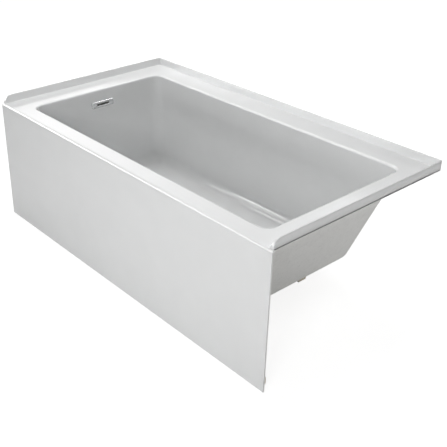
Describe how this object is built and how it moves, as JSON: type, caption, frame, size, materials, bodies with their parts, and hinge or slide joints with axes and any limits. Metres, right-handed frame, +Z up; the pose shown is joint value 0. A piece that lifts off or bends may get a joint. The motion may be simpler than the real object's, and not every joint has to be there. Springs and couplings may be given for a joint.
{
  "type": "alcove bathtub",
  "caption": "Rectangular skirted alcove bathtub with a tile flange on three sides, sloped backrest, slotted overflow and push drain stopper on its cradle.",
  "frame": {"origin": "on the floor, midway along the tub's length and width", "axes": "+X from the drain end to the backrest end, +Y from the skirt to the back wall, +Z up"},
  "size_m": [1.524, 0.8128, 0.521],
  "materials": {
    "acrylic": "high gloss",
    "fibreglass": "rough",
    "board": "raw",
    "timber": "raw",
    "zinc_steel": "zinc plated",
    "chrome": "polished",
    "brass": "satin",
    "rubber": "matt",
    "pipe": "satin",
    "nut": "satin"
  },
  "bodies": {
    "tub": {"tub_shell": "acrylic", "fibreglass_backing": "fibreglass", "base_board": "board", "front_runner": "timber", "back_runner": "timber", "front_rim_batten": "timber", "back_rim_batten": "timber", "drain_end_batten": "timber", "backrest_end_batten": "timber", "skirt_foot_rail": "timber", "skirt_studs": "timber", "skirt_braces": "zinc_steel", "brace_screws": "zinc_steel", "drain_strainer": "chrome", "drain_gasket": "rubber", "drain_elbow": "pipe", "stopper_cartridge": "brass", "waste_tee": "pipe", "tailpiece": "pipe", "slip_nuts": "nut", "slip_washers": "rubber", "overflow_cover": "chrome", "overflow_retainer": "zinc_steel", "overflow_screws": "zinc_steel", "overflow_gasket": "rubber", "overflow_elbow": "pipe"},
    "stopper": {"stopper_cap": "chrome", "stopper_seal": "rubber"}
  },
  "joints": [
    {"name": "stopper_slide", "type": "slide", "parent": "tub", "child": "stopper", "axis": [0, 0, 1], "range_m": [-0.0095, 0], "stiffness_N_per_m": 400, "springref_m": 0.01}
  ]
}
